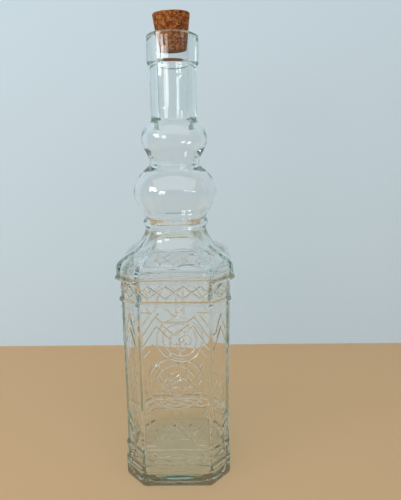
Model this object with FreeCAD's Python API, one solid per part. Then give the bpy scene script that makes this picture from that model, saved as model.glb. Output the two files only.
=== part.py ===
import FreeCAD
import Part

import math
import os

from FreeCAD import Vector

# Corked, blow-moulded clear glass bottle.
#
# A tall body of chamfered-square section stands on a wider foot.  Two beads run
# round its shoulder, which sweeps in as a concave bell and turns from octagonal
# to round.  A collar, two blown bulbs, a straight neck and a lip follow, and a
# tapered cork stands in the mouth.
#
# Frame: millimetres, +Z up, origin at the middle of the surface the foot stands
# on.  The flat sides of the body face along X and Y.

# ---------------------------------------------------------------- driving sizes

GLASS_HEIGHT = 315.0        # foot to rim
FOOT_HALF = 39.0            # half the width across the foot's flats
FOOT_CHAMFER = 13.9         # how much each corner of the square is cut back
FOOT_TOP = 18.6
FOOT_CORNER_ROUND = 3.6     # softness of the foot's upright corners
FOOT_LOWER_ROUND = 1.6
FOOT_UPPER_ROUND = 1.2
BODY_HALF = 37.4
BODY_CHAMFER = 13.4
CORNER_ROUND = 1.8          # softness of the body's upright corners
TRUNK_BOTTOM = 14.6         # the body runs down into the foot
TRUNK_TOP = 157.0           # and up into the upper bead

LOW_BEAD = (38.3, 13.6, 27.2, 31.2)      # half width, chamfer, bottom, top
MID_BEAD = (38.7, 13.7, 139.0, 142.4)
TOP_BEAD = (41.1, 15.4, 154.2, 158.0)
BEAD_ROUND = 0.47           # rounding of a bead's edges, as a share of its height
BAND_HALF = 39.9            # upright band that the shoulder rises from
BAND_CHAMFER = 15.2

WAIST_RADIUS = 17.3
WAIST = (231.6, 234.6)
NECK_RADIUS = 15.8
NECK_START = 260.8
LIP_RADIUS = 17.35
LIP_BOTTOM = 298.2
LIP_UNDERCUT = 2.6          # height of the slope below the lip
RIM_ROUND = 1.3

WALL = 3.4                  # side walls of the body
BASE_THICKNESS = 9.0        # glass above the ring the foot stands on
CAVITY_ROUND = 5.0          # inner upright corners
CAVITY_TOP = 147.0          # the cavity widens into the shoulder below this
PUSH_UP = 3.0               # depth of the hollow under the foot
PUSH_UP_HALF = 30.0
BORE_RADIUS = 10.0
MOUTH_RADIUS = 10.4

CORK_TOP_RADIUS = 12.45
CORK_BOTTOM_RADIUS = 9.2
CORK_LENGTH = 23.6
CORK_BOTTOM = 304.6
CORK_EDGE = 0.5
CORK_LEAN_LEFT = 2.2        # degrees, the top leans towards -X
CORK_LEAN_FRONT = 6.0       # degrees, the top leans towards -Y

SECTION_STEPS = 6           # spans along each side of a shoulder outline
TOUCH = 1e-4                # two heights closer than this are the same

# Shoulder, from inside the upper bead up: half width, roundness (0 is octagonal,
# 1 is a circle) and height.  The upright band comes first, then the bell.
SHOULDER_OUTSIDE = (
    (BAND_HALF, 0.0, 155.5),
    (BAND_HALF, 0.0, 159.0),
    (BAND_HALF, 0.0, 162.0),
    (39.7, 0.02, 164.6),
    (38.8, 0.05, 166.6),
    (36.0, 0.13, 169.2),
    (32.4, 0.24, 171.6),
    (29.0, 0.40, 174.0),
    (26.6, 0.60, 176.8),
    (24.4, 0.82, 180.0),
    (22.8, 0.96, 183.2),
    (21.8, 1.0, 186.2),
    (21.4, 1.0, 189.2),
)
SHOULDER_INSIDE = (
    (33.2, 0.06, 135.0),
    (33.7, 0.06, 139.5),
    (34.3, 0.06, 144.0),
    (35.1, 0.07, 149.0),
    (36.0, 0.08, 154.5),
    (36.1, 0.10, 159.5),
    (34.9, 0.18, 163.4),
    (31.0, 0.34, 166.8),
    (26.6, 0.56, 170.2),
    (22.6, 0.82, 175.2),
    (20.4, 0.94, 179.6),
    (19.4, 1.0, 183.2),
    (18.7, 1.0, 187.6),
    (18.2, 1.0, 191.0),
)

# Round part above the shoulder: each stretch is a run of (radius, height) that
# one smooth curve goes through, and the stretches meet at edges.
COLLAR_OUTSIDE = (
    (19.8, 185.6),
    (22.4, 188.6),
    (23.4, 191.4),
    (21.3, 194.6),
)
LOWER_BULB_OUTSIDE = (
    (21.3, 194.6),
    (24.9, 200.0),
    (28.7, 207.6),
    (29.35, 213.0),
    (26.3, 222.2),
    (WAIST_RADIUS, WAIST[0]),
)
UPPER_BULB_OUTSIDE = (
    (WAIST_RADIUS, WAIST[1]),
    (20.3, 240.3),
    (22.6, 246.0),
    (22.5, 251.6),
    (20.3, 256.6),
    (NECK_RADIUS, NECK_START),
)
NECK_INSIDE = (
    (17.6, 181.6),
    (18.8, 187.4),
    (19.6, 192.0),
    (20.4, 197.0),
    (24.6, 204.4),
    (26.8, 212.8),
    (22.6, 223.4),
    (14.2, 230.4),
    (13.2, 233.2),
    (15.2, 237.4),
    (19.9, 244.6),
    (20.0, 251.2),
    (16.0, 256.6),
    (11.6, 260.6),
    (BORE_RADIUS, 267.0),
)


def octagon(half, chamfer, height):
    """Corners of a square with its corners cut off, anticlockwise."""
    flat = half - chamfer
    around = ((flat, -half), (half, -flat), (half, flat), (flat, half),
              (-flat, half), (-half, flat), (-half, -flat), (-flat, -half))
    return [Vector(x, y, height) for x, y in around]


def octagon_prism(half, chamfer, bottom, top, corner_round):
    """Upright octagonal block with softened upright corners."""
    corners = octagon(half, chamfer, bottom)
    face = Part.Face(Part.makePolygon(corners + corners[:1]))
    block = face.extrude(Vector(0, 0, top - bottom))
    upright = [edge for edge in block.Edges if edge.BoundBox.ZLength > TOUCH]
    return block.makeFillet(corner_round, upright)


def level_edges(solid, height):
    """Edges of a solid that lie flat at one height."""
    found = []
    for edge in solid.Edges:
        box = edge.BoundBox
        if box.ZLength < TOUCH and abs(box.ZMin - height) < TOUCH:
            found.append(edge)
    return found


def bead(half, chamfer, bottom, top):
    """Rounded rib that runs round the body."""
    ring = octagon_prism(half, chamfer, bottom, top, CORNER_ROUND)
    edges = level_edges(ring, bottom) + level_edges(ring, top)
    return ring.makeFillet(BEAD_ROUND * (top - bottom), edges)


def shoulder_section(half, chamfer, roundness, height):
    """Closed outline between an octagon and a circle, as eight smooth edges."""
    corners = octagon(half, chamfer, height)
    edges = []
    for index in range(8):
        start = corners[index]
        end = corners[(index + 1) % 8]
        first = math.atan2(start.y, start.x)
        turn = (math.atan2(end.y, end.x) - first) % (2 * math.pi)
        points = []
        for step in range(SECTION_STEPS + 1):
            share = step / SECTION_STEPS
            straight = start + (end - start) * share
            angle = first + turn * share
            curved = Vector(half * math.cos(angle), half * math.sin(angle), height)
            points.append(straight + (curved - straight) * roundness)
        curve = Part.BSplineCurve()
        curve.interpolate(points)
        edges.append(curve.toShape())
    return Part.Wire(edges)


def shoulder(sections):
    """Solid lofted through the outlines of the shoulder."""
    wires = []
    for half, roundness, height in sections:
        chamfer = BAND_CHAMFER * half / BAND_HALF
        wires.append(shoulder_section(half, chamfer, roundness, height))
    return Part.makeLoft(wires, True, False)


def smooth_edge(run):
    """One smooth edge through (radius, height) points."""
    curve = Part.BSplineCurve()
    curve.interpolate([Vector(radius, 0, height) for radius, height in run])
    return curve.toShape()


def straight_edge(start, end):
    """One straight edge between two (radius, height) points."""
    return Part.makeLine(Vector(start[0], 0, start[1]), Vector(end[0], 0, end[1]))


def quarter_round(start, end, centre):
    """Quarter circle between two (radius, height) points about a third."""
    start = Vector(start[0], 0, start[1])
    end = Vector(end[0], 0, end[1])
    centre = Vector(centre[0], 0, centre[1])
    outward = (start - centre) + (end - centre)
    middle = centre + outward * ((start - centre).Length / outward.Length)
    return Part.Arc(start, middle, end).toShape()


def turned(edges):
    """Solid of revolution from edges that run up beside the axis."""
    bottom = edges[0].Vertexes[0].Point
    top = edges[-1].Vertexes[-1].Point
    closing = [
        Part.makeLine(Vector(0, 0, bottom.z), bottom),
        Part.makeLine(top, Vector(0, 0, top.z)),
        Part.makeLine(Vector(0, 0, top.z), Vector(0, 0, bottom.z)),
    ]
    outline = Part.Wire(closing[:1] + edges + closing[1:])
    return Part.Face(outline).revolve(Vector(0, 0, 0), Vector(0, 0, 1), 360)


def neck_outside():
    """Collar, two bulbs, neck and lip as one turned solid."""
    rim_start = GLASS_HEIGHT - RIM_ROUND
    rim_middle = LIP_RADIUS - RIM_ROUND
    edges = [
        smooth_edge(COLLAR_OUTSIDE),
        smooth_edge(LOWER_BULB_OUTSIDE),
        straight_edge((WAIST_RADIUS, WAIST[0]), (WAIST_RADIUS, WAIST[1])),
        smooth_edge(UPPER_BULB_OUTSIDE),
        straight_edge((NECK_RADIUS, NECK_START), (NECK_RADIUS, LIP_BOTTOM - LIP_UNDERCUT)),
        straight_edge((NECK_RADIUS, LIP_BOTTOM - LIP_UNDERCUT), (LIP_RADIUS, LIP_BOTTOM)),
        straight_edge((LIP_RADIUS, LIP_BOTTOM), (LIP_RADIUS, rim_start)),
        quarter_round((LIP_RADIUS, rim_start), (rim_middle, GLASS_HEIGHT), (rim_middle, rim_start)),
    ]
    return turned(edges)


def neck_inside():
    """Bore of the neck, opening out at the mouth, down to the shoulder."""
    flare_start = GLASS_HEIGHT - RIM_ROUND
    flare_end = MOUTH_RADIUS + RIM_ROUND
    edges = [
        smooth_edge(NECK_INSIDE),
        straight_edge(NECK_INSIDE[-1], (MOUTH_RADIUS, flare_start)),
        quarter_round((MOUTH_RADIUS, flare_start), (flare_end, GLASS_HEIGHT), (flare_end, flare_start)),
    ]
    return turned(edges)


def body_outside():
    """Foot, body and beads."""
    foot = octagon_prism(FOOT_HALF, FOOT_CHAMFER, 0, FOOT_TOP, FOOT_CORNER_ROUND)
    foot = foot.makeFillet(FOOT_LOWER_ROUND, level_edges(foot, 0))
    foot = foot.makeFillet(FOOT_UPPER_ROUND, level_edges(foot, FOOT_TOP))
    trunk = octagon_prism(BODY_HALF, BODY_CHAMFER, TRUNK_BOTTOM, TRUNK_TOP, CORNER_ROUND)
    beads = [bead(*LOW_BEAD), bead(*MID_BEAD), bead(*TOP_BEAD)]
    return foot.multiFuse([trunk] + beads)


def body_inside():
    """Cavity of the body, with rounded corners and a rounded floor."""
    half = BODY_HALF - WALL
    chamfer = BODY_CHAMFER * half / BODY_HALF
    cavity = octagon_prism(half, chamfer, BASE_THICKNESS, CAVITY_TOP, CAVITY_ROUND)
    return cavity.makeFillet(CAVITY_ROUND, level_edges(cavity, BASE_THICKNESS))


def push_up():
    """Shallow domed hollow under the foot, which leaves a ring to stand on."""
    radius = (PUSH_UP_HALF ** 2 + PUSH_UP ** 2) / (2 * PUSH_UP)
    return Part.makeSphere(radius, Vector(0, 0, PUSH_UP - radius))


def glass_bottle():
    """The bottle as one hollow piece of glass."""
    outside = body_outside().multiFuse([shoulder(SHOULDER_OUTSIDE), neck_outside()])
    inside = body_inside().multiFuse([shoulder(SHOULDER_INSIDE), neck_inside()])
    return outside.cut(inside).cut(push_up()).removeSplitter()


def tapered_cork(glass):
    """Tapered cork, pressed in a little askew, that fills the mouth."""
    cone = Part.makeCone(CORK_BOTTOM_RADIUS, CORK_TOP_RADIUS, CORK_LENGTH)
    rims = level_edges(cone, 0) + level_edges(cone, CORK_LENGTH)
    cone = cone.makeChamfer(CORK_EDGE, rims)
    mouth = Vector(0, 0, GLASS_HEIGHT - CORK_BOTTOM)
    cone.rotate(mouth, Vector(0, 1, 0), -CORK_LEAN_LEFT)
    cone.rotate(mouth, Vector(1, 0, 0), CORK_LEAN_FRONT)
    cone.translate(Vector(0, 0, CORK_BOTTOM))
    return cone.cut(glass)


def main():
    os.makedirs("parts", exist_ok=True)
    glass = glass_bottle()
    cork = tapered_cork(glass)
    glass.exportStep("parts/bottle.step")
    cork.exportStep("parts/cork.step")
    for name, shape in (("bottle", glass), ("cork", cork)):
        box = shape.BoundBox
        print(name, shape.isValid(), len(shape.Solids), "solid,",
              round(shape.Volume / 1000, 1), "cm3, z", round(box.ZMin, 2), round(box.ZMax, 2),
              "x", round(box.XMin, 2), round(box.XMax, 2))


main()
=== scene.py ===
import math
from collections import namedtuple

import bmesh
import bpy
from mathutils import Matrix, Vector, noise


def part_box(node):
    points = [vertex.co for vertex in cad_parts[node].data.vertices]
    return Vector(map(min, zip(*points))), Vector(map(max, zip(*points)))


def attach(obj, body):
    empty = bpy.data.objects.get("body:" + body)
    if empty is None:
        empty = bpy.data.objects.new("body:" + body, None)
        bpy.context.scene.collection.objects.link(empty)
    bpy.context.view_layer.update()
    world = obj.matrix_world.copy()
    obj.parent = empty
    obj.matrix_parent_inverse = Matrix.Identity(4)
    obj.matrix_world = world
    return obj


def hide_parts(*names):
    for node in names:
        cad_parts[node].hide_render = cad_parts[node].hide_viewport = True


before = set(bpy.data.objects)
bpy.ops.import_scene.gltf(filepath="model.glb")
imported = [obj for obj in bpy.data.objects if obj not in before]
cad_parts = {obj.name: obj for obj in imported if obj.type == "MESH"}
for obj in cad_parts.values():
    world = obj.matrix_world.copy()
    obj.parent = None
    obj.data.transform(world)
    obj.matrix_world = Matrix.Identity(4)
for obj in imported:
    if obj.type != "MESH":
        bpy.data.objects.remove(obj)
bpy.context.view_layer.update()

bl_info = {
    "name": "Corked glass bottle",
    "version": (1, 0, 0),
    "blender": (4, 5, 0),
    "location": "View3D > Sidebar > Bottle",
    "description": "Builds a moulded glass bottle with raised ornament, its cork and a plain stage",
    "category": "Object",
}

# Sizes and heights are in millimetres, apart from the stage's, which are in metres.
MM = 0.001
GLASS_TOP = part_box("bottle")[1]
RIM = GLASS_TOP.z / MM                  # height of the rim
WIDEST = GLASS_TOP.x / MM               # half width of the widest bead
TOUCHING = 1e-4                         # points this close lie on one line
WELD = 2e-3                             # the quarters are joined where they are this close

# One outline round the bottle: half the width across the flats, how much each
# corner is cut back, the softness of the corners, how round it is (0 octagonal,
# 1 a circle) and its height.
Outline = namedtuple("Outline", "half chamfer corner roundness height")

# A half-round rib round the body: half its width across the flats, how much its
# corners are cut back, and where it starts and ends.
Bead = namedtuple("Bead", "half chamfer bottom top")

FOOT = dict(half=39.0, chamfer=13.9, corner=3.6, heel=3.6, top=18.6, top_edge=1.2)
BODY = dict(half=37.4, chamfer=12.5, corner=3.4)
BAND = dict(half=39.9, chamfer=14.3, corner=1.6)
CAVITY = dict(half=34.0, chamfer=10.8, corner=2.0, heel=5.0, top=138.0, crown=0.6, crown_radius=26.4)

LOW_BEAD = Bead(38.4, 12.8, 27.2, 31.2)
MID_BEAD = Bead(38.8, 12.9, 139.0, 142.4)
TOP_BEAD = Bead(WIDEST, 14.6, 154.2, 158.0)
BEAD_CORNER = 2.4
BEAD_STEPS = 8
BEAD_LEAD = 0.35                        # the plain wall ends this far below a bead
ROW_GAP = 0.4                           # gap between two stretches of rows of faces

# the shoulder, outside and inside: half width, roundness and height
SHOULDER_OUTSIDE = (
    (39.9, 0.0, 158.4), (39.9, 0.0, 162.0), (39.7, 0.02, 164.6), (38.8, 0.05, 166.6),
    (36.0, 0.13, 169.2), (32.4, 0.24, 171.6), (29.0, 0.40, 174.0), (26.6, 0.60, 176.8),
    (24.4, 0.82, 180.0), (22.8, 0.96, 183.2), (21.8, 1.0, 186.2), (21.5, 1.0, 187.4),
)
SHOULDER_INSIDE = (
    (34.0, 0.06, 141.5), (34.3, 0.06, 144.0), (35.1, 0.07, 149.0), (36.0, 0.08, 154.5),
    (36.1, 0.10, 159.5), (34.9, 0.18, 163.4), (31.0, 0.34, 166.8), (26.6, 0.56, 170.2),
    (22.6, 0.82, 175.2), (20.4, 0.94, 179.6), (19.4, 1.0, 183.2), (18.8, 1.0, 187.0),
)

# the round part: (radius, height) points on smooth curves and straight lines
COLLAR = ((21.5, 187.4), (22.4, 188.6), (23.4, 191.4), (21.3, 194.6))
LOWER_BULB = ((21.3, 194.6), (24.9, 200.0), (28.7, 207.6), (29.35, 213.0), (26.3, 222.2), (17.3, 231.6))
WAIST = ((17.3, 231.9), (17.3, 234.3))
UPPER_BULB = ((17.3, 234.6), (20.3, 240.3), (22.6, 246.0), (22.5, 251.6), (20.3, 256.6), (15.8, 260.8))
NECK_RADIUS = 15.8
NECK_BOTTOM = 261.4
LIP_UNDERSIDE = ((15.8, 296.0), (16.15, 296.5), (17.0, 296.9), (17.35, 297.6))
LIP_RADIUS = 17.35
RIM_ROUND = 1.3
MOUTH_RADIUS = 10.4
BORE_BOTTOM = (10.0, 270.0)
NECK_INSIDE = (
    (18.8, 187.0), (19.6, 192.0), (20.4, 197.0), (24.6, 204.4), (26.8, 212.8), (22.6, 223.4),
    (14.2, 230.4), (13.2, 233.2), (15.2, 237.4), (19.9, 244.6), (20.0, 251.2), (16.0, 256.6),
    (11.6, 260.6), (10.0, 267.0),
)

HOLLOW_RADIUS = 24.0                    # the shallow hollow underneath
HOLLOW_ROWS = 14
TICK_RING = (26.2, 27.4, 28.6, 29.8)    # half widths of the ring of short grooves underneath
TICK_PITCH = 1.7
FLAT_TICKS = 0.59                       # how far the grooves run from the middle of a flat side,
CHAMFER_TICKS = 0.17                    # and of a chamfer, for each millimetre from the axis
STANDING_EDGE = 33.5                    # a row of faces outside the grooves

# slow waves inside: how high they reach, how soon they fade at both ends, and their size
WAVE_LOW = 2.0                          # above the floor of the cavity
WAVE_HIGH = 176.0
WAVE_FADE = 12.0
WAVE_WIDTH = 13.0
WAVE_LENGTH = 27.0
CAVITY_DEPTH = 1.5                      # what is deeper below the body's surface is the cavity's

# Columns of faces in the quarter that looks to the front: the right half, from
# the middle of the flat to the middle of the chamfer.
FLAT_SHARES = (0.0, 0.17, 0.34, 0.51, 0.68, 0.84, 0.965)
ARC_ANGLES = (0.0, 15.0, 30.0, 45.0)    # degrees round a softened corner
CHAMFER_SHARES = (0.08, 0.5, 1.0)
HALF_COLUMNS = len(FLAT_SHARES) + len(ARC_ANGLES) + len(CHAMFER_SHARES) - 1

CORK_EDGE = 0.5                         # bevel at both ends of the cork
CORK_STEPS = 112
CORK_GRAIN = 0.16                       # depth of its uneven surface
CORK_LUMPS = ((0.9, 0.6), (2.1, 0.4))   # how many lumps to a millimetre, and their share of the depth


# ------------------------------------------------------------------ small tools

def smooth_run(points, spacing):
    """Points close together on a smooth curve through a few chosen ones."""
    knots = [Vector(point) for point in points]
    ends = [knots[0] * 2 - knots[1]] + knots + [knots[-1] * 2 - knots[-2]]
    run = [knots[0]]
    for before, start, end, after in zip(ends, ends[1:], ends[2:], ends[3:]):
        length = (end - start).length
        leave = (end - before) * (length / ((end - start).length + (start - before).length))
        arrive = (after - start) * (length / ((after - end).length + length))
        count = max(1, round(length / spacing))
        for step in range(1, count + 1):
            t = step / count
            run.append(start * (2 * t**3 - 3 * t**2 + 1) + leave * (t**3 - 2 * t**2 + t)
                       + end * (3 * t**2 - 2 * t**3) + arrive * (t**3 - t**2))
    return run


def straight_run(start, end, spacing):
    """Evenly spaced points on a straight line."""
    start, end = Vector(start), Vector(end)
    count = max(1, round((end - start).length / spacing))
    return [start.lerp(end, step / count) for step in range(count + 1)]


def arc_run(centre, radius, first, last, steps):
    """Points on an arc, from one angle to another in degrees."""
    angles = [math.radians(first + (last - first) * step / steps) for step in range(steps + 1)]
    return [Vector((centre[0] + radius * math.cos(a), centre[1] + radius * math.sin(a)))
            for a in angles]


def cut_faces(mesh, faces, place, direction):
    """Splits faces along a plane; returns them with the new ones."""
    parts = set(faces)
    for face in faces:
        parts.update(face.edges)
        parts.update(face.verts)
    made = bmesh.ops.bisect_plane(mesh, geom=list(parts), dist=TOUCHING,
                                  plane_co=place, plane_no=direction)
    return [part for part in made["geom"] if isinstance(part, bmesh.types.BMFace)]


def made_verts(geometry):
    """The vertices in what a bmesh operator made."""
    return [part for part in geometry if isinstance(part, bmesh.types.BMVert)]


def finished_mesh(mesh, name, material, unit=MM):
    """Object made from a bmesh whose unit is so many metres."""
    bmesh.ops.scale(mesh, vec=(unit, unit, unit), verts=mesh.verts)
    data = bpy.data.meshes.new(name)
    mesh.to_mesh(data)
    mesh.free()
    data.materials.append(material)
    piece = bpy.data.objects.new(name, data)
    bpy.context.scene.collection.objects.link(piece)
    return piece


# ------------------------------------------------------------- the glass outline

def round_outline(radius, height):
    """A circle, with its columns spread like those of the body."""
    return Outline(radius, radius * 0.36, 0.5, 1.0, height)


def body_outline(half, height, like=BODY):
    """A chamfered square, with the chamfers in proportion to its width."""
    return Outline(half, like["chamfer"] * half / like["half"], like["corner"], 0.0, height)


def bead_outlines(bead, below, above):
    """Half-round rib between the wall below it and the wall above it."""
    found = [body_outline(below["half"], bead.bottom - BEAD_LEAD, below)]
    middle, reach = (bead.bottom + bead.top) / 2, (bead.top - bead.bottom) / 2
    for step in range(BEAD_STEPS + 1):
        angle = math.radians(-90 + 180 * step / BEAD_STEPS)
        wall = below if 2 * step < BEAD_STEPS else above
        share = math.cos(angle)
        half = wall["half"] + (bead.half - wall["half"]) * share
        chamfer = wall["chamfer"] + (bead.chamfer - wall["chamfer"]) * share
        found.append(Outline(half, chamfer, BEAD_CORNER, 0.0, middle + reach * math.sin(angle)))
    return found


def shoulder_outlines(sections, corner):
    """The turn from a chamfered square to a circle."""
    chamfer = BAND["chamfer"] / BAND["half"]
    return [Outline(half, chamfer * half, corner, max(0.0, min(1.0, roundness)), height)
            for half, roundness, height in smooth_run(sections, 1.3)]


def foot_outlines(hollow_depth):
    """From the middle underneath, out over the flat and up round the foot."""
    found = []
    for step in range(HOLLOW_ROWS + 1):
        share = step / HOLLOW_ROWS
        found.append(round_outline(HOLLOW_RADIUS * math.sqrt(share), hollow_depth * (1 - share)))
    half, heel, top, edge = FOOT["half"], FOOT["heel"], FOOT["top"], FOOT["top_edge"]
    found += [body_outline(h, 0.0, FOOT) for h in TICK_RING + (STANDING_EDGE, half - heel - ROW_GAP / 2)]
    found += [body_outline(h, z, FOOT) for h, z in arc_run((half - heel, heel), heel, -90, 0, 5)]
    found += [body_outline(half, z, FOOT) for _, z in straight_run((0, 4.0), (0, 16.6), 3.2)]
    found += [body_outline(h, z, FOOT) for h, z in arc_run((half - edge, top - edge), edge, 0, 90, 4)]
    return found


def wall_outlines():
    """Up the body, over its three beads."""
    wall, foot = BODY["half"], FOOT["top"]
    rise = straight_run((0, LOW_BEAD.top + ROW_GAP), (0, MID_BEAD.bottom - 2 * BEAD_LEAD), 7.6)
    found = [body_outline(wall, z) for z in (foot + 0.15, foot + 0.7, 23.0)]
    found += bead_outlines(LOW_BEAD, BODY, BODY)
    found += [body_outline(wall, z) for _, z in rise]
    found += bead_outlines(MID_BEAD, BODY, BODY)
    found += [body_outline(wall, z) for z in (MID_BEAD.top + ROW_GAP, 148.2)]
    found += bead_outlines(TOP_BEAD, BODY, BAND)
    return found


def neck_outlines():
    """The collar, the two bulbs, the neck and the lip, up to the rim."""
    rounds = smooth_run(COLLAR, 0.9)[1:] + smooth_run(LOWER_BULB, 1.5)[1:]
    rounds += straight_run(*WAIST, 1.0) + smooth_run(UPPER_BULB, 1.5)
    under, side = LIP_UNDERSIDE[0][1] - ROW_GAP, LIP_UNDERSIDE[-1][1] + ROW_GAP
    rounds += straight_run((NECK_RADIUS, NECK_BOTTOM), (NECK_RADIUS, under), 6.0)
    rounds += smooth_run(LIP_UNDERSIDE, 0.25)
    rounds += straight_run((LIP_RADIUS, side), (LIP_RADIUS, RIM - RIM_ROUND - ROW_GAP), 3.5)
    rounds += arc_run((LIP_RADIUS - RIM_ROUND, RIM - RIM_ROUND), RIM_ROUND, 0, 90, 5)
    return [round_outline(radius, height) for radius, height in rounds]


def outside_outlines(hollow_depth):
    """From the middle underneath, out round the foot and up to the rim."""
    shoulder = shoulder_outlines(SHOULDER_OUTSIDE, BAND["corner"])
    return foot_outlines(hollow_depth) + wall_outlines() + shoulder + neck_outlines()


def inside_outlines(base):
    """From the rim down the bore and the cavity to the middle of its floor."""
    rounds = arc_run((MOUTH_RADIUS + RIM_ROUND, RIM - RIM_ROUND), RIM_ROUND, 90, 180, 5)
    # the bore narrows a little on its way down
    rounds += straight_run((MOUTH_RADIUS - 0.02, RIM - RIM_ROUND - 0.6), BORE_BOTTOM, 4.0)
    rounds += reversed(smooth_run(NECK_INSIDE, 1.7))
    found = [round_outline(radius, height) for radius, height in rounds]
    found += reversed(shoulder_outlines(SHOULDER_INSIDE, CAVITY["corner"])[:-1])
    wall, heel = CAVITY["half"], CAVITY["heel"]
    down = straight_run((0, CAVITY["top"]), (0, base + heel + 3.0), 8.0)
    found += [body_outline(wall, z, CAVITY) for _, z in down]
    found += [body_outline(h, z, CAVITY) for h, z in arc_run((wall - heel, base + heel), heel, 0, -90, 6)]
    for step in (15, 12, 8, 4, 0):
        share = step / 15
        found.append(round_outline(CAVITY["crown_radius"] * share, base + CAVITY["crown"] * (1 - share**2)))
    return found


def column_point(outline, column):
    """Where one column of the front quarter meets an outline, seen from above."""
    half, chamfer, corner, roundness, _ = outline
    side = -1 if column < 0 else 1
    number = abs(column)
    pull = corner * math.tan(math.radians(ARC_ANGLES[-1] / 2))
    flat_end = half - chamfer - pull
    arc_start = len(FLAT_SHARES)
    chamfer_start = arc_start + len(ARC_ANGLES)
    turned = corner * math.sqrt(0.5)
    arc_end = Vector((flat_end + turned, -half + corner - turned))
    middle = Vector((half - chamfer / 2, -(half - chamfer / 2)))
    if number < arc_start:
        spot = Vector((flat_end * FLAT_SHARES[number], -half))
    elif number < chamfer_start:
        angle = math.radians(ARC_ANGLES[number - arc_start])
        spot = Vector((flat_end + corner * math.sin(angle), -half + corner - corner * math.cos(angle)))
    else:
        spot = arc_end.lerp(middle, CHAMFER_SHARES[number - chamfer_start])
    if spot.length > TOUCHING:
        spot = spot.lerp(spot.normalized() * half, roundness)
    return side * spot.x, spot.y


def quarter_sheet(outlines):
    """Grid of faces for the front quarter, each row laid on one outline."""
    mesh = bmesh.new()
    columns = 2 * HALF_COLUMNS
    rows = len(outlines) - 1
    bmesh.ops.create_grid(mesh, x_segments=columns, y_segments=rows, size=1.0)
    for vert in mesh.verts:
        column = round((vert.co.x + 1) / 2 * columns) - HALF_COLUMNS
        outline = outlines[round((vert.co.y + 1) / 2 * rows)]
        x, y = column_point(outline, column)
        vert.co = (x, y, outline.height)
    return mesh


# ------------------------------------------------------------- the raised ornament

# Lines on one side, as chains of (across, up) points from the middle of the side
# and the foot.  Each of the four sides repeats them.
MIDDLE_LINES = (
    ((-5.8, 137.2), (0.0, 131.5), (5.8, 137.2)),
    ((-22.4, 116.9), (-13.0, 131.5), (-8.8, 127.7), (8.8, 127.7), (13.0, 131.5), (22.4, 116.9)),
    ((-9.0, 125.9), (0.0, 117.9), (9.0, 125.9)),
    ((-21.2, 48.6), (-13.0, 35.7), (0.0, 47.6), (13.0, 35.7), (21.2, 48.6)),
)
# lines that stand both on the right and, mirrored, on the left
PAIRED_LINES = (
    ((22.4, 134.4), (15.5, 134.4)),
    ((16.6, 133.0), (22.2, 124.9)),
    ((22.4, 109.0), (12.4, 124.8), (3.4, 115.4), (3.4, 103.9)),
    ((18.4, 107.0), (21.3, 103.5)),
    ((10.0, 38.7), (3.7, 38.7)),
    ((21.8, 56.4), (12.4, 41.6), (3.3, 50.4), (3.3, 61.9)),
    ((18.4, 58.8), (21.3, 62.3)),
    ((21.0, 33.7), (15.5, 33.7)),
)
# lines on a chamfer, which its lower half mirrors
CHAMFER_LINES = (
    ((-6.6, 118.5), (-4.8, 119.3), (0.0, 131.3), (4.8, 119.3), (6.6, 118.5)),
    ((-6.6, 107.5), (0.0, 122.6), (6.6, 107.5)),
)
MEDALLION_HEIGHT = 82.9
MEDALLION_RINGS = ((19.4, 40), (14.0, 32), (2.0, 10))   # radius and number of straight parts
LOBE_REACH = 4.6                        # from the medallion's middle to the middle of a lobe
LOBE_RADIUS = 4.4
LOBE_SWEEP = 230.0                      # degrees of each lobe's open arc
LOBE_STEPS = 10
LATTICES = ((144.1, 152.5), (20.6, 26.0))               # bottom and top of each lattice band
LATTICE_PITCH = 11.75
LATTICE_END = 1.9 * LATTICE_PITCH
DIAMOND_HALF_WIDTH = 6.4

LOOKS_FLAT = 1e-4                       # a height that isn't worth lifting
SHARP_TURN = 0.8                        # cosine of the turn past which a joint gets round ends
RIDGE_SHARES = (-0.5, 0.0, 0.5)         # where a ridge is split along its length


def ring(centre, radius, steps):
    """Closed chain round a circle."""
    x, z = centre
    angles = [2 * math.pi * step / steps for step in range(steps + 1)]
    return [(x + radius * math.cos(a), z + radius * math.sin(a)) for a in angles]


def medallion():
    """Rings round a four-lobed rosette."""
    chains = [ring((0.0, MEDALLION_HEIGHT), radius, steps) for radius, steps in MEDALLION_RINGS]
    for quarter in range(4):
        middle = math.radians(90 * quarter)
        x = LOBE_REACH * math.cos(middle)
        z = MEDALLION_HEIGHT + LOBE_REACH * math.sin(middle)
        turns = [middle + math.radians(LOBE_SWEEP * (step / LOBE_STEPS - 0.5))
                 for step in range(LOBE_STEPS + 1)]
        chains.append([(x + LOBE_RADIUS * math.cos(a), z + LOBE_RADIUS * math.sin(a)) for a in turns])
    return chains


def flat_lattice(bottom, top):
    """Crossed zigzags along a flat side."""
    middle, pitch, end = (bottom + top) / 2, LATTICE_PITCH, LATTICE_END
    return [[(-end, middle), (-1.5 * pitch, high), (-0.5 * pitch, low),
             (0.5 * pitch, high), (1.5 * pitch, low), (end, middle)]
            for low, high in ((bottom, top), (top, bottom))]


def chamfer_lattice(bottom, top):
    """Diamond on a chamfer."""
    middle, half = (bottom + top) / 2, DIAMOND_HALF_WIDTH
    return [[(-half, middle), (0.0, top), (half, middle), (0.0, bottom), (-half, middle)]]


def flat_chains():
    """Every raised line of a flat side."""
    chains = list(MIDDLE_LINES)
    for chain in PAIRED_LINES:
        chains += [[(-x, z) for x, z in chain], chain]
    chains += medallion()
    for bottom, top in LATTICES:
        chains += flat_lattice(bottom, top)
    return chains


def chamfer_chains():
    """Every raised line of a chamfer."""
    chains = list(CHAMFER_LINES)
    chains += [[(x, 2 * MEDALLION_HEIGHT - z) for x, z in chain] for chain in CHAMFER_LINES]
    for bottom, top in LATTICES:
        chains += chamfer_lattice(bottom, top)
    return chains


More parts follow.
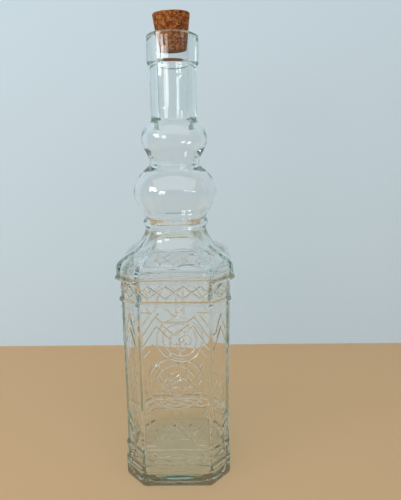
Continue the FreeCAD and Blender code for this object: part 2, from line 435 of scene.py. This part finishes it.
class Ridge:
    """One straight raised line.  An end is free, where it gets a round cap, or
    it meets the next line of its chain on the line that halves their corner."""

    def __init__(self, start, end, before, after, half_width):
        self.start, self.end = start, end
        self.half_width = half_width
        self.length = (end - start).length
        self.along = (end - start) / self.length
        self.across = Vector((-self.along.y, self.along.x))
        self.stops = self.end_cuts(start, before, -1) + self.end_cuts(end, after, 1)

    def end_cuts(self, point, neighbour, way):
        """Point and direction of each cut at one end, the outermost one last."""
        out = self.along * way
        if neighbour is None or neighbour.dot(self.along) < SHARP_TURN:
            return [(point, out), (point + out * self.half_width, out)]
        return [(point, (neighbour + self.along).normalized() * way)]

    def reached_by(self, corners):
        """Whether a face with these corners may touch the ridge."""
        margin = 1.02 * self.half_width
        offsets = [corner - self.start for corner in corners]
        along = [offset.dot(self.along) for offset in offsets]
        across = [offset.dot(self.across) for offset in offsets]
        return (min(along) < self.length + margin and max(along) > -margin
                and min(across) < margin and max(across) > -margin)

    def between_stops(self, middle):
        """Whether a spot lies between the outermost cuts at both ends."""
        forward = [stop for stop in self.stops if stop[1].dot(self.along) > 0]
        backward = [stop for stop in self.stops if stop[1].dot(self.along) < 0]
        return all((middle - point).dot(normal) < 0 for point, normal in (forward[-1], backward[-1]))

    def line_at(self, share):
        """A point on the line that runs lengthwise at this share of the half width."""
        return self.start + self.across * (share * self.half_width)

    def distance(self, x, y):
        """How far a spot is from the ridge's middle line."""
        share = (x - self.start.x) * self.along.x + (y - self.start.y) * self.along.y
        share = max(0.0, min(self.length, share))
        return math.hypot(x - self.start.x - share * self.along.x, y - self.start.y - share * self.along.y)


def chain_ridges(chain, half_width):
    """The ridges of a chain of points; a chain that ends where it starts is closed."""
    points = [Vector(point) for point in chain]
    ways = [(end - start).normalized() for start, end in zip(points, points[1:])]
    closed = (points[0] - points[-1]).length < TOUCHING
    before = [ways[-1] if closed else None] + ways[:-1]
    after = ways[1:] + [ways[0] if closed else None]
    return [Ridge(*parts, half_width) for parts in zip(points, points[1:], before, after)]


class Side:
    """A flat side of the bottle: its place, its direction and its raised lines."""

    def __init__(self, centre, outward, reach, chains, half_width, height):
        self.centre = Vector(centre)
        self.outward = Vector(outward).normalized()
        self.across = Vector((-self.outward.y, self.outward.x, 0.0))
        self.reach = reach
        self.half_width, self.height = half_width, height
        self.ridges = [ridge for chain in chains for ridge in chain_ridges(chain, half_width)]

    def flat(self, point):
        """Where a point is on the side: across it and up."""
        return Vector(((point - self.centre).dot(self.across), point.z))

    def middle(self, face):
        """Where the middle of a face is on the side."""
        return self.flat(face.calc_center_median())

    def holds(self, face):
        """Whether a face lies flat in this side."""
        middle = face.calc_center_median()
        off = (middle - self.centre).dot(self.outward)
        turned = abs(abs(face.normal.dot(self.outward)) - 1)
        return abs(off) < 1e-3 and turned < 1e-5 and abs(self.flat(middle).x) <= self.reach

    def cut(self, mesh, faces, point, normal):
        """Splits faces along a line on the side; returns them with the new ones."""
        place = self.centre + self.across * point.x
        place.z = point.y
        return cut_faces(mesh, faces, place, self.across * normal.x + Vector((0, 0, normal.y)))

    def rise(self, spot):
        """Height of the raised lines at a spot, from the nearest ridge's middle."""
        nearest = self.half_width
        for ridge in self.ridges:
            if abs(spot.y - (ridge.start.y + ridge.end.y) / 2) < ridge.length / 2 + self.half_width:
                nearest = min(nearest, ridge.distance(spot.x, spot.y))
        return self.height * (1 - (nearest / self.half_width) ** 2)


def cut_ridge(mesh, side, ridge, flats):
    """Cuts one ridge's outline and lengthwise lines into the flat faces it crosses."""
    near = [face for face, corners in flats.items() if ridge.reached_by(corners)]
    for face in near:
        del flats[face]
    for point, normal in ridge.stops:
        near = side.cut(mesh, near, point, normal)
    inside = [face for face in near if ridge.between_stops(side.middle(face))]
    done = set(near) - set(inside)
    for share in (-1.0, 1.0):
        inside = side.cut(mesh, inside, ridge.line_at(share), ridge.across)
    core = [face for face in inside
            if abs((side.middle(face) - ridge.start).dot(ridge.across)) < ridge.half_width]
    done |= set(inside) - set(core)
    for share in RIDGE_SHARES:
        core = side.cut(mesh, core, ridge.line_at(share), ridge.across)
    for face in done | set(core):
        flats[face] = [side.flat(vert.co) for vert in face.verts]


def raise_lines(mesh, side):
    """Cuts the edges of the raised lines into a side and lifts them."""
    flats = {face: [side.flat(vert.co) for vert in face.verts] for face in mesh.faces if side.holds(face)}
    for ridge in side.ridges:
        cut_ridge(mesh, side, ridge, flats)
    lifted = set()
    for vert in {vert for face in flats for vert in face.verts}:
        height = side.rise(side.flat(vert.co))
        if height > LOOKS_FLAT:
            vert.co += side.outward * height
            lifted.add(vert)
    # the outline of a raised line stays a crease, and all the rest is smooth
    raised = {face for vert in lifted for face in vert.link_faces}
    for face in raised:
        for edge in face.edges:
            if any(other not in raised for other in edge.link_faces):
                edge.smooth = False


def ornament_sides(half_width, height):
    """The flat side and the two half chamfers of the front quarter."""
    half, chamfer = BODY["half"], BODY["chamfer"]
    middle, reach = half - chamfer / 2, chamfer * math.sqrt(0.5)
    sides = [Side((0, -half, 0), (0, -1, 0), half - chamfer, flat_chains(), half_width, height)]
    for hand in (-1, 1):
        centre, outward = (hand * middle, -middle, 0), (hand, -1, 0)
        sides.append(Side(centre, outward, reach, chamfer_chains(), half_width, height))
    return sides


def press_tick_row(mesh, outward, distance, spread, depth):
    """Grooves along one side, whose distance from the axis and half length are
    given for each millimetre of the bottle's half width."""
    across = Vector((-outward.y, outward.x, 0.0))
    low, high = TICK_RING[0], TICK_RING[-1]

    def on_ring(point, margin):
        half, along = point.dot(outward) / distance, point.dot(across)
        inside = low + margin < half < high - margin
        return inside and abs(point.z) < TOUCHING and abs(along) < spread * half * distance

    faces = [face for face in mesh.faces if on_ring(face.calc_center_median(), 0.0)]
    count = int(2 * spread * high * distance / TICK_PITCH)
    for step in range(-count, count + 1):
        faces = cut_faces(mesh, faces, across * (step * TICK_PITCH / 2), across)
    for vert in {vert for face in faces for vert in face.verts}:
        turn = 2 * vert.co.dot(across) / TICK_PITCH
        if on_ring(vert.co, 0.1) and abs(turn - round(turn)) < 1e-2 and round(turn) % 2:
            vert.co.z = depth


def press_ticks(mesh, depth):
    """Presses a ring of short grooves, side by side, into the flat underneath."""
    slant = (2 - FOOT["chamfer"] / FOOT["half"]) / math.sqrt(2)
    press_tick_row(mesh, Vector((0, -1, 0)), 1.0, FLAT_TICKS, depth)
    for hand in (-1, 1):
        press_tick_row(mesh, Vector((hand, -1, 0)).normalized(), slant, CHAMFER_TICKS, depth)


def on_cavity(point):
    """Whether a point is on the wall of the cavity and not on the outer surface."""
    across = max(abs(point.x), abs(point.y), (abs(point.x) + abs(point.y) + BODY["chamfer"]) / 2)
    return across < BODY["half"] - CAVITY_DEPTH


def make_wavy(mesh, base, depth):
    """Slow waves that blowing leaves on the wall of the cavity, none on the outside."""
    mesh.normal_update()
    bottom = base + WAVE_LOW
    for vert in mesh.verts:
        height = vert.co.z
        if bottom < height < WAVE_HIGH and on_cavity(vert.co):
            ease = min(1.0, (height - bottom) / WAVE_FADE, (WAVE_HIGH - height) / WAVE_FADE)
            spot = Vector((vert.co.x / WAVE_WIDTH, vert.co.y / WAVE_WIDTH, height / WAVE_LENGTH))
            vert.co += vert.normal * (depth * ease * noise.noise(spot))


# ----------------------------------------------------------------------- materials

GRANULE = 1.15                          # width of a cork granule
PORE = 0.75                             # width of a dark pore between granules
MOULD_WAVE = 14.0                       # length of the waves on the glass
WHITE = (1.0, 1.0, 1.0, 1.0)
CLEAR_GLASS = (0.93, 0.95, 0.945, 1.0)  # what two walls let through

# the sockets of a Mix node that mixes colours
MIX_SHARE, MIX_FIRST, MIX_SECOND, MIX_RESULT = 0, 6, 7, 2


def linear(colour):
    """Linear red, green, blue and alpha from an sRGB hex colour."""
    values = [int(colour[index:index + 2], 16) / 255 for index in (1, 3, 5)]
    return [v / 12.92 if v <= 0.04045 else ((v + 0.055) / 1.055) ** 2.4 for v in values] + [1.0]


def new_material(name):
    """Material with an empty node tree."""
    material = bpy.data.materials.new(name)
    material.use_nodes = True
    material.node_tree.nodes.clear()
    return material


def add(material, kind, inputs=None, stops=(), **settings):
    """Adds a node with its settings.  Each input is linked to another node's
    output or gets a plain value; a colour ramp has (position, sRGB hex) stops."""
    tree = material.node_tree
    node = tree.nodes.new(kind)
    for name, value in settings.items():
        setattr(node, name, value)
    for key, value in (inputs or {}).items():
        if isinstance(value, bpy.types.NodeSocket):
            tree.links.new(value, node.inputs[key])
        else:
            node.inputs[key].default_value = value
    for _ in stops[2:]:
        node.color_ramp.elements.new(0.5)
    for number, (position, colour) in enumerate(stops):
        node.color_ramp.elements[number].position = position
        node.color_ramp.elements[number].color = linear(colour)
    return node


def glass_material(settings):
    """Moulded soda-lime glass: clear, with a faint sea green that only long ways
    through it show, and a fire-polished surface that is a little wavy."""
    material = new_material("moulded soda-lime glass")
    place = add(material, "ShaderNodeTexCoord").outputs["Object"]
    # slow waves that the mould and the cooling leave
    waves = add(material, "ShaderNodeTexNoise",
                {"Vector": place, "Scale": 1 / (MOULD_WAVE * MM), "Detail": 1.5, "Roughness": 0.4})
    bump = add(material, "ShaderNodeBump",
               {"Height": waves.outputs["Fac"], "Strength": 0.35, "Distance": 0.25 * MM})
    glass = add(material, "ShaderNodeBsdfPrincipled",
                {"Base Color": WHITE, "Transmission Weight": 1.0, "IOR": 1.52, "Roughness": 0.0,
                 "Normal": bump.outputs["Normal"]})
    # lamps shine through, as they do through clear glass, instead of throwing a black shadow
    rays = add(material, "ShaderNodeLightPath")
    unseen = add(material, "ShaderNodeMath",
                 {0: rays.outputs["Is Shadow Ray"], 1: rays.outputs["Is Diffuse Ray"]},
                 operation="MAXIMUM")
    through = add(material, "ShaderNodeBsdfTransparent", {"Color": CLEAR_GLASS})
    surface = add(material, "ShaderNodeMixShader",
                  {"Fac": unseen.outputs["Value"], 1: glass.outputs["BSDF"], 2: through.outputs["BSDF"]})
    tint = add(material, "ShaderNodeVolumeAbsorption",
               {"Color": settings.tint, "Density": settings.tint_density})
    add(material, "ShaderNodeOutputMaterial",
        {"Surface": surface.outputs["Shader"], "Volume": tint.outputs["Volume"]})
    return material


def cork_material():
    """Agglomerated cork: pressed granules in several browns, with darker binder
    and pores between them, and a dull, dry surface."""
    material = new_material("agglomerated cork")
    place = add(material, "ShaderNodeTexCoord").outputs["Object"]
    granules = {"Vector": place, "Scale": 1 / (GRANULE * MM)}
    cells = add(material, "ShaderNodeTexVoronoi", granules)
    tone = add(material, "ShaderNodeSeparateColor", {"Color": cells.outputs["Color"]})
    browns = add(material, "ShaderNodeValToRGB", {"Fac": tone.outputs["Red"]},
                 stops=((0.0, "#6A3315"), (0.3, "#8E4F21"), (0.65, "#AA662E"), (1.0, "#BE8042")))
    gaps = add(material, "ShaderNodeTexVoronoi", granules, feature="DISTANCE_TO_EDGE")
    binder = add(material, "ShaderNodeValToRGB", {"Fac": gaps.outputs["Distance"]},
                 stops=((0.0, "#5A3018"), (0.09, "#FFFFFF")))
    pores = add(material, "ShaderNodeTexNoise", {"Vector": place, "Scale": 1 / (PORE * MM), "Detail": 2.0})
    dots = add(material, "ShaderNodeValToRGB", {"Fac": pores.outputs["Fac"]},
               stops=((0.37, "#341A0E"), (0.43, "#FFFFFF")))
    bound = add(material, "ShaderNodeMix",
                {MIX_SHARE: 0.7, MIX_FIRST: browns.outputs["Color"], MIX_SECOND: binder.outputs["Color"]},
                data_type="RGBA", blend_type="MULTIPLY")
    dotted = add(material, "ShaderNodeMix",
                 {MIX_SHARE: 0.8, MIX_FIRST: bound.outputs[MIX_RESULT], MIX_SECOND: dots.outputs["Color"]},
                 data_type="RGBA", blend_type="MULTIPLY")
    bump = add(material, "ShaderNodeBump",
               {"Height": pores.outputs["Fac"], "Strength": 0.6, "Distance": 0.3 * MM})
    cork = add(material, "ShaderNodeBsdfPrincipled",
               {"Base Color": dotted.outputs[MIX_RESULT], "Roughness": 0.88, "Specular IOR Level": 0.3,
                "Normal": bump.outputs["Normal"]})
    add(material, "ShaderNodeOutputMaterial", {"Surface": cork.outputs["BSDF"]})
    return material


def paper_material(name, colour, one_sided):
    """Matt seamless paper: plain, pale and without gloss.  A one-sided sheet is
    seen only from its front, and throws no shadow."""
    material = new_material(name)
    paper = add(material, "ShaderNodeBsdfPrincipled",
                {"Base Color": colour, "Roughness": 0.95, "Specular IOR Level": 0.1})
    surface = paper.outputs["BSDF"]
    if one_sided:
        faces = add(material, "ShaderNodeNewGeometry")
        rays = add(material, "ShaderNodeLightPath")
        unseen = add(material, "ShaderNodeMath",
                     {0: faces.outputs["Backfacing"], 1: rays.outputs["Is Shadow Ray"]},
                     operation="MAXIMUM")
        clear = add(material, "ShaderNodeBsdfTransparent")
        mixed = add(material, "ShaderNodeMixShader",
                    {"Fac": unseen.outputs["Value"], 1: surface, 2: clear.outputs["BSDF"]})
        surface = mixed.outputs["Shader"]
    add(material, "ShaderNodeOutputMaterial", {"Surface": surface})
    return material


# -------------------------------------------------------------------- user settings

class GlassSettings(bpy.types.PropertyGroup):
    """Sizes of the relief and the base, and the colour of the glass"""
    line_width: bpy.props.FloatProperty(
        name="Line width", description="Width of a raised line",
        default=1.56 * MM, min=0.2 * MM, precision=5, unit="LENGTH")
    line_height: bpy.props.FloatProperty(
        name="Line height", description="How far a raised line stands out",
        default=0.8 * MM, min=0.0, precision=5, unit="LENGTH")
    groove_depth: bpy.props.FloatProperty(
        name="Groove depth", description="Depth of the short grooves underneath",
        default=0.5 * MM, min=0.0, precision=5, unit="LENGTH")
    hollow_depth: bpy.props.FloatProperty(
        name="Hollow depth", description="Depth of the shallow hollow underneath",
        default=0.8 * MM, min=0.0, precision=5, unit="LENGTH")
    base_thickness: bpy.props.FloatProperty(
        name="Base thickness", description="Height of the cavity's floor above the underside",
        default=7.4 * MM, min=3.0 * MM, max=16.0 * MM, precision=5, unit="LENGTH")
    wave_depth: bpy.props.FloatProperty(
        name="Wave depth", description="Depth of the slow waves on the wall of the cavity",
        default=0.45 * MM, min=0.0, max=1.0 * MM, precision=5, unit="LENGTH")
    tint: bpy.props.FloatVectorProperty(
        name="Tint", description="Colour of the glass in a deep block",
        default=linear("#8FD9C8"), size=4, min=0.0, max=1.0, subtype="COLOR")
    tint_density: bpy.props.FloatProperty(
        name="Tint density", description="How fast the tint grows with each metre of glass",
        default=8.0, min=0.0)


class CorkSettings(bpy.types.PropertyGroup):
    """Sizes and lean of the cork"""
    top_width: bpy.props.FloatProperty(
        name="Top width", description="Width of the cork's top",
        default=24.9 * MM, min=5.0 * MM, precision=5, unit="LENGTH")
    bottom_width: bpy.props.FloatProperty(
        name="Bottom width", description="Width of the cork's lower end",
        default=18.4 * MM, min=5.0 * MM, precision=5, unit="LENGTH")
    length: bpy.props.FloatProperty(
        name="Length", description="Length of the cork",
        default=23.6 * MM, min=5.0 * MM, precision=5, unit="LENGTH")
    depth: bpy.props.FloatProperty(
        name="Depth", description="How deep the cork sits in the mouth",
        default=10.4 * MM, min=0.0, precision=5, unit="LENGTH")
    lean_left: bpy.props.FloatProperty(
        name="Lean to the left", description="How far its top leans towards -X",
        default=math.radians(2.2), unit="ROTATION")
    lean_front: bpy.props.FloatProperty(
        name="Lean to the front", description="How far its top leans towards -Y",
        default=math.radians(6.0), unit="ROTATION")


class StageSettings(bpy.types.PropertyGroup):
    """Colours of the stage"""
    backdrop: bpy.props.FloatVectorProperty(
        name="Backdrop", description="Colour of the backdrop",
        default=linear("#C2D4DF"), size=4, min=0.0, max=1.0, subtype="COLOR")
    floor: bpy.props.FloatVectorProperty(
        name="Floor", description="Colour of the floor",
        default=linear("#BE9F7A"), size=4, min=0.0, max=1.0, subtype="COLOR")
    surroundings: bpy.props.FloatVectorProperty(
        name="Surroundings", description="Colour of the light from all round",
        default=linear("#BFC6CC"), size=4, min=0.0, max=1.0, subtype="COLOR")
    surroundings_strength: bpy.props.FloatProperty(
        name="Surroundings strength", description="Strength of the light from all round",
        default=0.42, min=0.0)


# the stage, in metres
FLOOR_HALF = 1.0
BACKDROP_HALF = 0.66
BACKDROP_DEPTH = 0.206                  # how far it stands behind the bottle's axis
BACKDROP_FOOT, BACKDROP_TOP = -0.4, 1.2

# An area lamp: its place, what it faces, its width and height, its power in watts,
# and whether it is seen through the glass and not only mirrored in it.
Lamp = namedtuple("Lamp", "name place target size power seen_through")
LAMPS = (
    Lamp("window", (-1.07, -0.54, 0.6), (0.0, 0.0, 0.25), (0.44, 0.2), 3.0, True),
    Lamp("window_two", (-0.66, -1.0, 0.45), (0.0, 0.0, 0.28), (0.36, 0.26), 1.9, True),
    Lamp("ceiling", (0.0, -1.1, 1.5), (0.0, 0.0, 0.1), (4.4, 1.8), 45.0, False),
)

CAMERA_PLACE = (0.0174, -0.3074, 0.236)
CAMERA_LENS = 30.79                     # millimetres
CAMERA_TURN = -0.06                     # degrees to the left, then down, then rolled
CAMERA_DOWN = 12.22
CAMERA_ROLL = -0.45
BOUNCES = 32                            # enough to pass both walls and what they mirror
GLOSSY_BOUNCES = 16


# ------------------------------------------------------------------------ operators

class BOTTLE_OT_glass(bpy.types.Operator):
    """Build the moulded glass bottle with its raised ornament"""
    bl_idname = "bottle.glass"
    bl_label = "Glass bottle"

    def execute(self, context):
        settings = context.scene.bottle_glass
        base = settings.base_thickness / MM
        mesh = quarter_sheet(outside_outlines(settings.hollow_depth / MM) + inside_outlines(base))
        mesh.normal_update()
        for face in mesh.faces:
            face.smooth = True
        press_ticks(mesh, settings.groove_depth / MM)
        for side in ornament_sides(settings.line_width / MM / 2, settings.line_height / MM):
            raise_lines(mesh, side)
        quarter = mesh.verts[:] + mesh.edges[:] + mesh.faces[:]
        for turn in (1, 2, 3):
            copy = bmesh.ops.duplicate(mesh, geom=quarter)["geom"]
            bmesh.ops.rotate(mesh, verts=made_verts(copy), cent=(0, 0, 0),
                             matrix=Matrix.Rotation(math.radians(90 * turn), 3, "Z"))
        bmesh.ops.remove_doubles(mesh, verts=mesh.verts, dist=WELD)
        bmesh.ops.recalc_face_normals(mesh, faces=mesh.faces)
        if any(len(edge.link_faces) != 2 for edge in mesh.edges):
            raise RuntimeError("the glass is not closed")
        make_wavy(mesh, base, settings.wave_depth / MM)
        piece = finished_mesh(mesh, "glass_bottle", glass_material(settings))
        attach(piece, "root")
        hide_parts("bottle")
        return {"FINISHED"}


class BOTTLE_OT_cork(bpy.types.Operator):
    """Build the tapered cork, pressed in a little askew"""
    bl_idname = "bottle.cork"
    bl_label = "Cork"

    def execute(self, context):
        settings = context.scene.bottle_cork
        bottom, top = settings.bottom_width / MM / 2, settings.top_width / MM / 2
        length, depth = settings.length / MM, settings.depth / MM
        outline = straight_run((0.0, 0.0), (bottom - CORK_EDGE, 0.0), 0.7)
        outline += straight_run((bottom, CORK_EDGE), (top, length - CORK_EDGE), 0.5)
        outline += straight_run((top - CORK_EDGE, length), (0.0, length), 0.7)
        mesh = bmesh.new()
        verts = [mesh.verts.new((x, 0.0, z)) for x, z in outline]
        edges = [mesh.edges.new(pair) for pair in zip(verts, verts[1:])]
        bmesh.ops.spin(mesh, geom=verts + edges, cent=(0, 0, 0), axis=(0, 0, 1),
                       angle=math.radians(360), steps=CORK_STEPS, use_merge=True, use_duplicate=False)
        bmesh.ops.remove_doubles(mesh, verts=mesh.verts, dist=TOUCHING)
        bmesh.ops.recalc_face_normals(mesh, faces=mesh.faces)
        mesh.normal_update()
        for vert in mesh.verts:
            grain = sum(share * noise.noise(vert.co * count) for count, share in CORK_LUMPS)
            vert.co += vert.normal * (CORK_GRAIN * (grain - 0.5))
        lean = (Matrix.Rotation(settings.lean_front, 3, "X")
                @ Matrix.Rotation(-settings.lean_left, 3, "Y"))
        # it leans about the middle of the mouth
        bmesh.ops.rotate(mesh, verts=mesh.verts, cent=(0, 0, depth), matrix=lean)
        bmesh.ops.translate(mesh, verts=mesh.verts, vec=(0, 0, RIM - depth))
        for face in mesh.faces:
            face.smooth = True
        piece = finished_mesh(mesh, "cork_stopper", cork_material())
        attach(piece, "root")
        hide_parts("cork")
        return {"FINISHED"}


class BOTTLE_OT_stage(bpy.types.Operator):
    """Set the floor, backdrop, lamps, surroundings and camera"""
    bl_idname = "bottle.stage"
    bl_label = "Stage"

    def execute(self, context):
        settings = context.scene.bottle_stage
        floor = paper_material("matt paper floor", settings.floor, False)
        backdrop = paper_material("matt paper backdrop", settings.backdrop, True)
        self.sheet("floor", (-FLOOR_HALF, 0.0), (FLOOR_HALF, 0.0), FLOOR_HALF, floor)
        self.sheet("backdrop", (BACKDROP_DEPTH, BACKDROP_FOOT), (BACKDROP_DEPTH, BACKDROP_TOP),
                   BACKDROP_HALF, backdrop)
        self.surroundings(context, settings)
        for lamp in LAMPS:
            self.light(context, lamp)
        self.camera(context)
        return {"FINISHED"}

    def sheet(self, name, start, end, half, material):
        """Sheet of paper between two (depth, height) points, facing the front or up."""
        mesh = bmesh.new()
        verts = [mesh.verts.new((-half, y, z)) for y, z in (start, end)]
        grown = bmesh.ops.extrude_edge_only(mesh, edges=[mesh.edges.new(verts)])["geom"]
        bmesh.ops.translate(mesh, verts=made_verts(grown), vec=(2 * half, 0, 0))
        mesh.normal_update()
        for face in mesh.faces:
            if face.normal.y > 0 or face.normal.z < 0:
                face.normal_flip()
        finished_mesh(mesh, name, material, 1.0)

    def surroundings(self, context, settings):
        """Even light from all round."""
        world = bpy.data.worlds.new("studio")
        world.use_nodes = True
        light = world.node_tree.nodes["Background"]
        light.inputs["Color"].default_value = settings.surroundings
        light.inputs["Strength"].default_value = settings.surroundings_strength
        context.scene.world = world

    def light(self, context, lamp):
        """An area lamp that faces its target."""
        data = bpy.data.lights.new(lamp.name, "AREA")
        data.shape = "RECTANGLE"
        data.size, data.size_y = lamp.size
        data.energy = lamp.power
        light = bpy.data.objects.new(lamp.name, data)
        light.location = lamp.place
        way = Vector(lamp.target) - Vector(lamp.place)
        light.rotation_euler = way.to_track_quat("-Z", "Y").to_euler()
        light.visible_transmission = lamp.seen_through
        context.scene.collection.objects.link(light)

    def camera(self, context):
        """The camera, and how often its rays may bend and mirror."""
        data = bpy.data.cameras.new("camera")
        data.lens = CAMERA_LENS
        camera = bpy.data.objects.new("camera", data)
        camera.location = CAMERA_PLACE
        turn = (Matrix.Rotation(math.radians(CAMERA_TURN), 3, "Z")
                @ Matrix.Rotation(math.radians(90 - CAMERA_DOWN), 3, "X")
                @ Matrix.Rotation(math.radians(CAMERA_ROLL), 3, "Z"))
        camera.rotation_euler = turn.to_euler()
        context.scene.collection.objects.link(camera)
        context.scene.camera = camera
        context.scene.view_settings.view_transform = "Standard"
        rays = context.scene.cycles
        rays.max_bounces = BOUNCES
        rays.glossy_bounces = GLOSSY_BOUNCES
        rays.transmission_bounces = BOUNCES
        rays.transparent_max_bounces = BOUNCES


class BOTTLE_PT_panel(bpy.types.Panel):
    """Buttons for every part of the bottle"""
    bl_label = "Bottle"
    bl_idname = "BOTTLE_PT_panel"
    bl_space_type = "VIEW_3D"
    bl_region_type = "UI"
    bl_category = "Bottle"

    def draw(self, context):
        scene = context.scene
        for operator, settings in ((BOTTLE_OT_glass, scene.bottle_glass),
                                   (BOTTLE_OT_cork, scene.bottle_cork),
                                   (BOTTLE_OT_stage, scene.bottle_stage)):
            for name in settings.__annotations__:
                self.layout.prop(settings, name)
            self.layout.operator(operator.bl_idname)


CLASSES = (GlassSettings, CorkSettings, StageSettings,
           BOTTLE_OT_glass, BOTTLE_OT_cork, BOTTLE_OT_stage, BOTTLE_PT_panel)


def register():
    for item in CLASSES:
        bpy.utils.register_class(item)
    bpy.types.Scene.bottle_glass = bpy.props.PointerProperty(type=GlassSettings)
    bpy.types.Scene.bottle_cork = bpy.props.PointerProperty(type=CorkSettings)
    bpy.types.Scene.bottle_stage = bpy.props.PointerProperty(type=StageSettings)


def unregister():
    del bpy.types.Scene.bottle_glass
    del bpy.types.Scene.bottle_cork
    del bpy.types.Scene.bottle_stage
    for item in reversed(CLASSES):
        bpy.utils.unregister_class(item)


def main():
    register()
    bpy.ops.bottle.glass()
    bpy.ops.bottle.cork()
    bpy.ops.bottle.stage()


if __name__ == "__main__":
    main()
